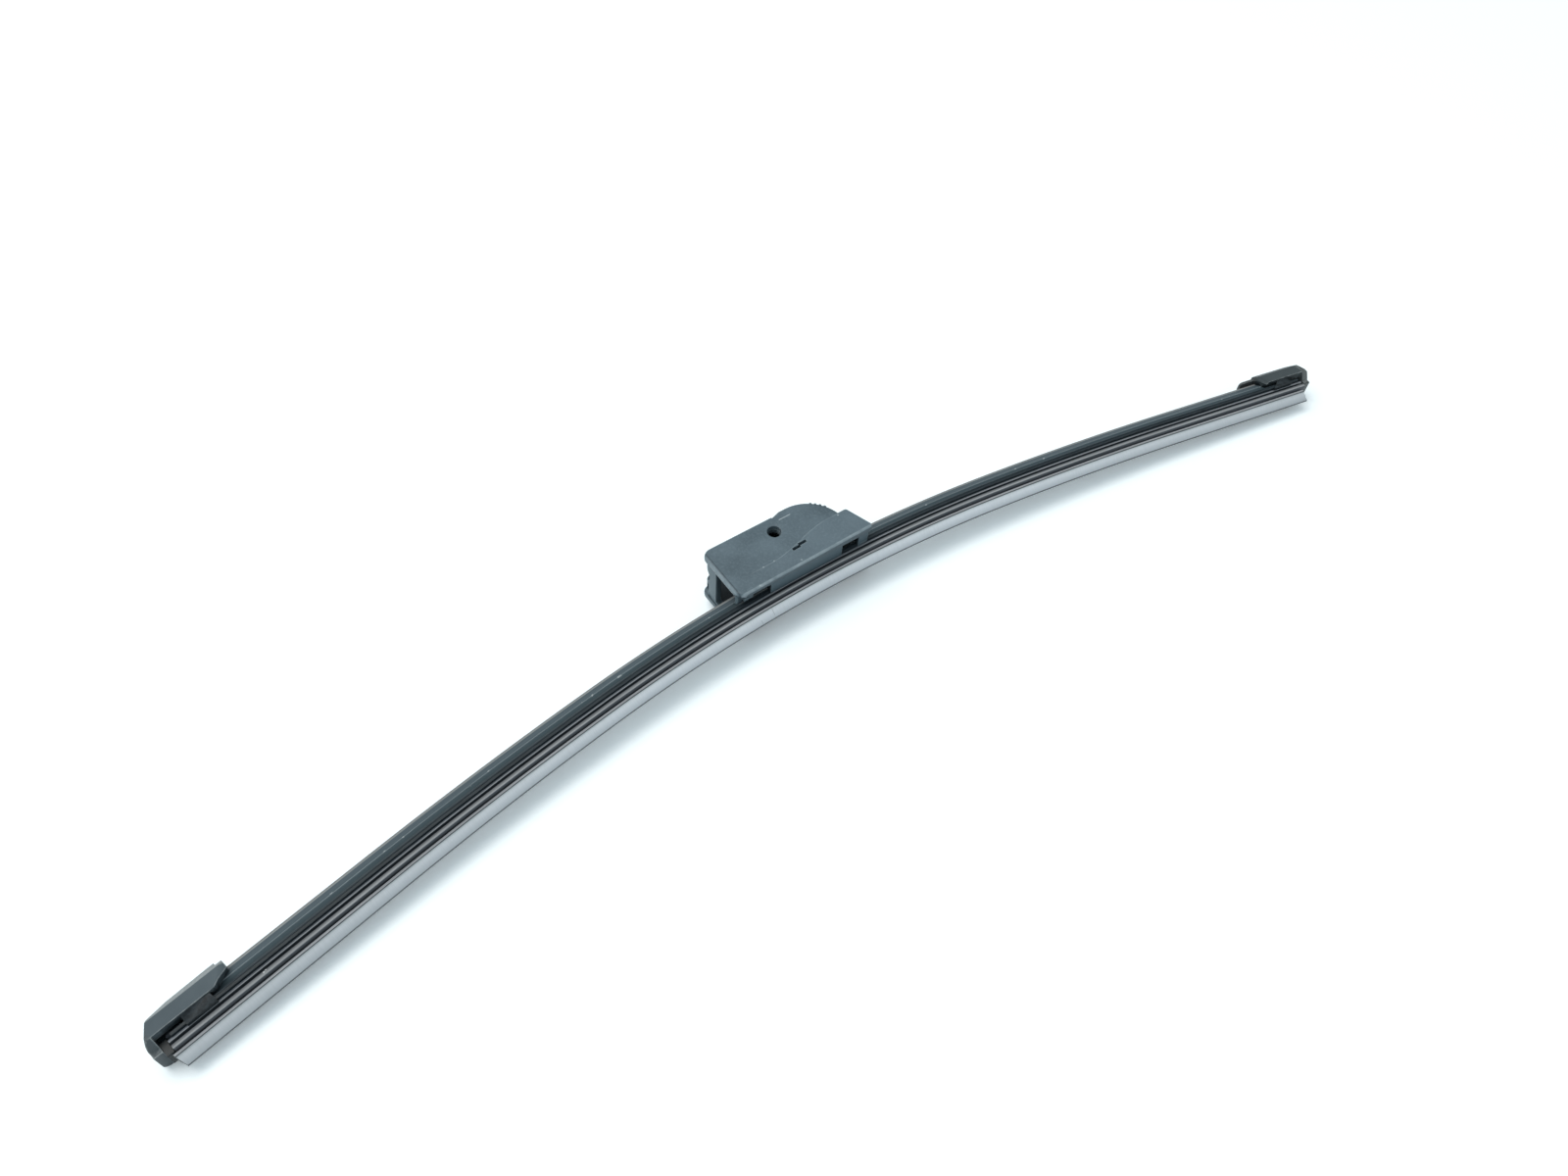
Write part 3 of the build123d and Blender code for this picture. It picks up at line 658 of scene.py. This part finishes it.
def base_finish():
    """Satin black moulding, painted shade in the arm's space, and painted light on the underside and the
    open end's face.
    """
    material, tree, shader, place, colour = moulded(
        "base_plastic", BASE_DARK, BASE_LIGHT, BASE_ROUGHNESS, BASE_SPECULAR)
    surface = measures_of(tree)
    # The arm's space between the walls is painted black as its shade.
    between_walls = faded(tree, maths(tree, "ABSOLUTE", surface.width), *ARM_SPACE_FADE)
    past_lintel = faded(tree, surface.along, *LINTEL_FADE)
    colour = mixed(tree, times(tree, between_walls, past_lintel), colour, ARM_SPACE_SHADE)
    # The underside faces are painted paler as the light that falls on them.
    colour = mixed(tree, faded(tree, surface.height, *UNDERSIDE_FADE), colour, UNDERSIDE_LIT_TONE)
    # The open end's face is painted paler as the light from the left that falls on it.
    colour = mixed(tree, faded(tree, surface.along, *END_FACE_FADE), colour, END_FACE_LIT_TONE)
    colour = rubbed_and_highlit_edges(tree, place, colour, BASE_RUBBED_AND_HIGHLIT, BASE_RUBBED_REACH, BASE_RUBBED_MOST)
    tree.links.new(colour, shader.inputs["Base Color"])
    return material


base_look = base_finish()
base = smooth_copy("connector_base", "clamp", base_look)
web_corners = np.array([(WEB_LOW, WEB_IN), (WEB_LOW, WEB_OUT), (WEB_HIGH, WEB_OUT), (WEB_HIGH, WEB_IN)])
web_stations = np.linspace(WEB_START, WEB_END, WEB_STATIONS)
for name, corners in (("web_upper", web_corners[::-1]), ("web_lower", web_corners * (1, -1))):
    web = strip(name, softened(corners, WEB_ROUND), web_stations, base_look)

# Connector cover: a moulded shell snapped over the base, with finger ridges on its nose and a flared
# skirt below a soft crease. Its edges are painted pale as wear and as highlight, and a few nicks show white.
COVER_HALF_LENGTH = 31.0
COVER_BOTTOM = 6.8
CREASE_START = (-12.0, 13.8)
CREASE_END = (18.0, 19.2)
NOSE_FOOT = 21.6
COVER_SIDE_FADE = (10.0, 10.6)
COVER_UPPER_SIDE_FADE = (11.0, 11.4)

COVER_ROUGHNESS = 0.45
COVER_SPECULAR = 0.35
COVER_DARK = (0.068, 0.097, 0.117)
COVER_LIGHT = (0.11, 0.15, 0.178)
SKIRT_FLARE_FADE = (-15.0, 5.0, 0.0, 0.5)
SKIRT_TOP_FADE = (-0.1, 0.1, 1.0, 0.0)
SKIRT_LIT_TONE = (0.118, 0.16, 0.19)
MOTTLE_GRAIN = 1100.0
MOTTLE_FADE = (0.45, 0.75, 0.0, 0.35)
MOTTLE_TONE = (0.15, 0.2, 0.235)
PATCH_GRAIN = 330.0
CREASE_LINE = (-0.2, 0.1, 0.2)
CREASE_RUN_FADE = (-24.0, -12.0)
CREASE_BREAKUP = (0.35, 0.65, 0.15, 0.6)
CREASE_HIGHLIGHT = (0.23, 0.28, 0.31)
INSET_LINE = (1.2 - COVER_HALF_LENGTH, 1.4 - COVER_HALF_LENGTH, 0.25)
INSET_BREAKUP = (0.3, 0.6, 0.5, 0.85)
INSET_SHADE = (0.035, 0.05, 0.06)
NOSE_HEIGHT_FADE = (NOSE_FOOT, NOSE_FOOT + 1.0)
NOSE_START_FADE = (0.0, 2.0)
NOSE_RIM_FADE = (11.6, 12.0, 0.75, 0.0)
NOSE_RIM_TONE = (0.085, 0.098, 0.104)
LOWER_EDGE_LINE = (COVER_BOTTOM + 0.25, COVER_BOTTOM + 0.9, 0.3)
LEFT_EDGE_FADE = (0.9 - COVER_HALF_LENGTH, 0.4 - COVER_HALF_LENGTH, 0.0, 0.8)
COVER_EDGE_BREAKUP = (0.3, 0.7, 0.4, 1.0)
COVER_EDGE_HIGHLIGHT = (0.27, 0.325, 0.355)
COVER_RUBBED_AND_HIGHLIT = (0.25, 0.3, 0.325)
COVER_RUBBED_REACH = 0.8
COVER_RUBBED_MOST = 0.8
BOTTOM_FACE_FADE = (COVER_BOTTOM + 0.05, COVER_BOTTOM + 0.25, 0.85, 0.0)
BOTTOM_FACE_SHADE = (0.06, 0.085, 0.102)
COVER_NICKS = ((-10.4, 14.0), (-15.4, 13.8), (-1.7, 8.7), (22.6, 18.3), (-21.2, 7.6))
COVER_NICK_SIZE = 0.4
GLINT_ALONG = (2.9, 7.8, 0.4)
GLINT_HEIGHT = (29.15, 29.45, 0.1)
COVER_MARK_BREAKUP = (0.2, 0.6, 0.45, 0.85)
COVER_NICK_AND_GLINT_PALE = (0.38, 0.43, 0.45)


def above_crease(tree, surface):
    """Height over the crease, which climbs the cover's side as a smooth step from its start to its end."""
    (start, low), (end, high) = CREASE_START, CREASE_END
    climb = {0: surface.along, 1: start * MM, 2: end * MM, 3: low * MM, 4: high * MM}
    crease = add(tree, "ShaderNodeMapRange", climb, interpolation_type="SMOOTHSTEP").outputs[0]
    return maths(tree, "SUBTRACT", surface.height, crease)


def cover_finish():
    """Fine-grained black, painted light on the skirt and crease, a greyer nose rim, edges pale as wear and
    painted highlight, white nicks and a painted glint.
    """
    material, tree, shader, place, colour = moulded(
        "cover_plastic", COVER_DARK, COVER_LIGHT, COVER_ROUGHNESS, COVER_SPECULAR)
    surface = measures_of(tree)
    along, height = surface.along, surface.height
    from_middle = maths(tree, "ABSOLUTE", surface.width)
    outside = faded(tree, from_middle, *COVER_SIDE_FADE)
    over = above_crease(tree, surface)
    patchy = noise(tree, place, PATCH_GRAIN)

    # The flared skirt is painted paler towards the right as the light that falls on it.
    skirt = times(tree, outside, faded(tree, along, *SKIRT_FLARE_FADE), faded(tree, over, *SKIRT_TOP_FADE))
    colour = mixed(tree, skirt, colour, SKIRT_LIT_TONE)
    mottle = noise(tree, place, MOTTLE_GRAIN, detail=2.0)
    colour = mixed(tree, ranged(tree, mottle, *MOTTLE_FADE), colour, MOTTLE_TONE)

    # The crease is painted as a pale, patchy highlight.
    crease = times(tree, within(tree, over, *CREASE_LINE), faded(tree, along, *CREASE_RUN_FADE))
    crease = times(tree, outside, crease, ranged(tree, patchy, *CREASE_BREAKUP))
    colour = mixed(tree, crease, colour, CREASE_HIGHLIGHT)
    # A dark line beside the left end is a painted shadow in a groove.
    inset = times(tree, outside, within(tree, along, *INSET_LINE), ranged(tree, patchy, *INSET_BREAKUP))
    colour = mixed(tree, inset, colour, INSET_SHADE)
    nose = times(tree, faded(tree, height, *NOSE_HEIGHT_FADE), faded(tree, along, *NOSE_START_FADE))
    rim = times(tree, nose, faded(tree, from_middle, *NOSE_RIM_FADE))
    colour = mixed(tree, rim, colour, NOSE_RIM_TONE)

    # The lower rim and the left edge are painted pale as patchy highlights.
    lower_edge = within(tree, height, *LOWER_EDGE_LINE)
    edges = maths(tree, "MAXIMUM", lower_edge, faded(tree, along, *LEFT_EDGE_FADE))
    edges = times(tree, outside, edges, ranged(tree, patchy, *COVER_EDGE_BREAKUP))
    colour = mixed(tree, edges, colour, COVER_EDGE_HIGHLIGHT)
    colour = rubbed_and_highlit_edges(tree, place, colour, COVER_RUBBED_AND_HIGHLIT, COVER_RUBBED_REACH, COVER_RUBBED_MOST)
    # The bottom face is painted a little darker as shade.
    colour = mixed(tree, faded(tree, height, *BOTTOM_FACE_FADE), colour, BOTTOM_FACE_SHADE)

    # A short pale line by the nose is a painted glint on an edge; the nicks beside it are wear.
    glint_line = times(tree, within(tree, along, *GLINT_ALONG), within(tree, height, *GLINT_HEIGHT))
    marks = maths(tree, "MAXIMUM", glint_line, nicks(tree, surface, COVER_NICKS, COVER_NICK_SIZE))
    on_upper_side = faded(tree, surface.width, *COVER_UPPER_SIDE_FADE)
    marks = times(tree, on_upper_side, marks, ranged(tree, patchy, *COVER_MARK_BREAKUP))
    colour = mixed(tree, marks, colour, COVER_NICK_AND_GLINT_PALE)
    tree.links.new(colour, shader.inputs["Base Color"])
    return material


cover = smooth_copy("connector_cover", "cover_shell", cover_finish())

# End caps: black hoods, each moulded in one piece with the claws that clip on the rails' ends.
# They cover the ends of the spoiler, and their edges are painted pale as wear and as highlight.
CAP_ROUGHNESS = 0.5
CAP_SPECULAR = 0.25
# Both caps are one plastic, painted lit on the left and shaded on the right; the left crown's pale tone and
# both end walls' tones are painted light.
LEFT_CAP_LIT_TONES = {
    "dark": (0.066, 0.086, 0.1),
    "light": (0.088, 0.112, 0.127),
    "crown": (0.27, 0.29, 0.295),
    "end_wall": (0.088, 0.1, 0.106),
}
RIGHT_CAP_SHADED_TONES = {
    "dark": (0.04, 0.05, 0.055),
    "light": (0.057, 0.069, 0.074),
    "crown": (0.065, 0.07, 0.072),
    "end_wall": (0.15, 0.157, 0.155),
}
CAP_ROUGH_GRAIN = 900.0
CROWN_HIGHLIGHT_FADE = (16.1, 16.5, 0.0, 0.85)
END_WALL_FADE = (2.2, 3.4)
END_WALL_PATCHES = (0.2, 0.8, 0.65, 0.85)
CAP_RUBBED_AND_HIGHLIT = (0.34, 0.365, 0.37)
CAP_RUBBED_REACH = 0.7
CAP_RUBBED_MOST = 0.9
CLAW_TOP_FADE = (10.5, 10.7, 1.0, 0.0)
CLAW_END_FADE = (-0.5, 0.0, 0.93, 0.0)
CLAW_SHADE_TONES = ((0.35, (0.005, 0.007, 0.009)), (0.7, (0.026, 0.034, 0.04)))


def cap_finish(name, dark, light, crown, end_wall):
    """Satin black moulding, rough and painted dark on the claws as shade, with painted light on crown and
    end wall, edges pale as wear and highlight.
    """
    material, tree, shader, place, colour = moulded(name, dark, light, CAP_ROUGHNESS, CAP_SPECULAR)
    surface = measures_of(tree)
    rough = noise(tree, place, CAP_ROUGH_GRAIN, detail=2.0)
    # The crown band is a painted highlight, and the end wall's patchy tone is painted light.
    colour = mixed(tree, faded(tree, surface.height, *CROWN_HIGHLIGHT_FADE), colour, crown)
    end = times(tree, faded(tree, surface.along, *END_WALL_FADE), ranged(tree, rough, *END_WALL_PATCHES))
    colour = mixed(tree, end, colour, end_wall)
    colour = rubbed_and_highlit_edges(tree, place, colour, CAP_RUBBED_AND_HIGHLIT, CAP_RUBBED_REACH, CAP_RUBBED_MOST)
    # The claws under the hood are painted dark as the hood's shade.
    claw = times(
        tree,
        faded(tree, surface.height, *CLAW_TOP_FADE),
        faded(tree, surface.along, *CLAW_END_FADE),
    )
    colour = mixed(tree, claw, colour, ramp(tree, rough, CLAW_SHADE_TONES))
    tree.links.new(colour, shader.inputs["Base Color"])
    return material


for side, end, tones in (("left", -BLADE_HALF, LEFT_CAP_LIT_TONES), ("right", BLADE_HALF, RIGHT_CAP_SHADED_TONES)):
    cap_look = cap_finish("cap_plastic_" + side, **tones)
    cap = smooth_copy("end_cap_" + side, "hood_" + side, cap_look, end)

# Rubber stop: a short black block moulded inside the left cap's end wall, painted darker than the cap as the
# shade of that recess.
# The end of the rubber rests against it, so that the rubber can't creep out of the rails.
STOP_START = 250.3
STOP_END = 252.4
STOP_CORNERS = ((4.6, -3.4), (9.6, -5.6), (9.6, 2.4), (4.6, 2.4))
STOP_ROUND = 0.4
STOP_SPECULAR = 0.35
STOP_SHADE_DARK = (0.013, 0.016, 0.018)
STOP_SHADE_LIGHT = (0.03, 0.036, 0.039)


def stop_finish():
    """Same moulding as the cap, but darker all over as painted shade."""
    material, tree, shader, _, colour = moulded(
        "stop_plastic_shaded", STOP_SHADE_DARK, STOP_SHADE_LIGHT, CAP_ROUGHNESS, STOP_SPECULAR)
    tree.links.new(colour, shader.inputs["Base Color"])
    return material


stop_outline = softened(np.array(STOP_CORNERS), STOP_ROUND)
stop = strip("rubber_stop", stop_outline, np.array([-STOP_END, -STOP_START]), stop_finish())

# Table: a plain white board that the blade lies on, with the soft shadow on it.
# Its white is lifted a little where it is seen, so that it stays white around the shadow.
TABLE_HALF = 3.0
TABLE_ROUGHNESS = 0.9
TABLE_SPECULAR = 0.0
TABLE_WHITE = (0.865, 0.92, 0.95)
TABLE_LIFT = 0.17
TABLE_LIFT_WHITE = (0.96, 1.0, 1.0)


def table_finish():
    """Diffuse white for the shadow, with an even lift where seen directly, mirrored or through glass."""
    material, tree, shader = finish("white_table", TABLE_ROUGHNESS, TABLE_SPECULAR)
    shader.inputs["Base Color"].default_value = (*TABLE_WHITE, 1.0)
    shader.inputs["Emission Color"].default_value = (*TABLE_LIFT_WHITE, 1.0)
    path = add(tree, "ShaderNodeLightPath").outputs
    seen = path["Is Camera Ray"]
    for kind in ("Is Glossy Ray", "Is Transmission Ray"):
        seen = maths(tree, "ADD", seen, path[kind])
    tree.links.new(ranged(tree, seen, 0.0, 1.0, 0.0, TABLE_LIFT), shader.inputs["Emission Strength"])
    return material


table_corners = np.array([(-1, -1, 0), (1, -1, 0), (1, 1, 0), (-1, 1, 0)]) * TABLE_HALF
table_mesh = bpy.data.meshes.new("table")
table_mesh.from_pydata(table_corners.tolist(), [], [(0, 1, 2, 3)])
table = bpy.data.objects.new("table", table_mesh)
table.data.materials.append(table_finish())
bpy.context.scene.collection.objects.link(table)

# Studio: a pale room, brightest overhead and on the left, and one large soft panel above the blade.
# The room's light is a little cool and the panel's a little warm, which tints the shadow blue.
ROOM_TONE = (0.83, 0.955, 1.0)
WALL_TO_CEILING_LIGHT = (0.33, 0.9)
LEFT_TO_RIGHT_LIGHT = (1.35, 0.65)
PANEL_PLACE = (-0.62, 0.53, 2.5)
PANEL_AIM = (0.0, 0.0, 0.0)
PANEL_SIZE = 1.8
PANEL_TONE = (1.0, 0.94, 0.88)
PANEL_POWER = 37.5


def room_light(tree):
    """Light of the room: it grows evenly from the walls to the ceiling, and falls from left to right."""
    way = add(tree, "ShaderNodeTexCoord").outputs["Generated"]
    axes = add(tree, "ShaderNodeSeparateXYZ", {0: way}).outputs
    room = tree.nodes["Background"]
    room.inputs["Color"].default_value = (*ROOM_TONE, 1.0)
    upward = ranged(tree, axes["Z"], 0.0, 1.0, *WALL_TO_CEILING_LIGHT)
    sideways = ranged(tree, axes["X"], -1.0, 1.0, *LEFT_TO_RIGHT_LIGHT)
    tree.links.new(times(tree, upward, sideways), room.inputs["Strength"])


def aimed(place, aim):
    """Turn that points a lamp from a place at an aim: tilt from straight down, then turn about up."""
    x, y, z = np.array(aim) - np.array(place)
    return np.arctan2(np.hypot(x, y), -z), 0.0, np.arctan2(-x, y)


world = bpy.data.worlds.new("white_room")
bpy.context.scene.world = world
world.use_nodes = True
room_light(world.node_tree)

lamp = bpy.data.lights.new("ceiling_panel", "AREA")
lamp.size = PANEL_SIZE
lamp.color = PANEL_TONE
lamp.energy = PANEL_POWER
panel = bpy.data.objects.new("ceiling_panel", lamp)
bpy.context.scene.collection.objects.link(panel)
panel.location = PANEL_PLACE
panel.rotation_euler = aimed(PANEL_PLACE, PANEL_AIM)

# Camera: a short wide lens at the left in front of the blade, which looks down along it.
# Its place and turn were fitted to the bowed line of the lip.
CAMERA_PLACE = (-0.181352, -0.253941, 0.325864)
CAMERA_TURN = (45.0606, 2.6073, -35.9031)
CAMERA_SENSOR = 36.0
CAMERA_LENS = 27.0
CAMERA_NEAR = 0.01

camera = bpy.data.objects.new("camera", bpy.data.cameras.new("camera"))
bpy.context.scene.collection.objects.link(camera)
camera.location = CAMERA_PLACE
camera.rotation_euler = [radians(turn) for turn in CAMERA_TURN]
camera.data.sensor_width = CAMERA_SENSOR
camera.data.lens = CAMERA_LENS
camera.data.clip_start = CAMERA_NEAR
bpy.context.scene.camera = camera
bpy.context.scene.view_settings.view_transform = "Standard"
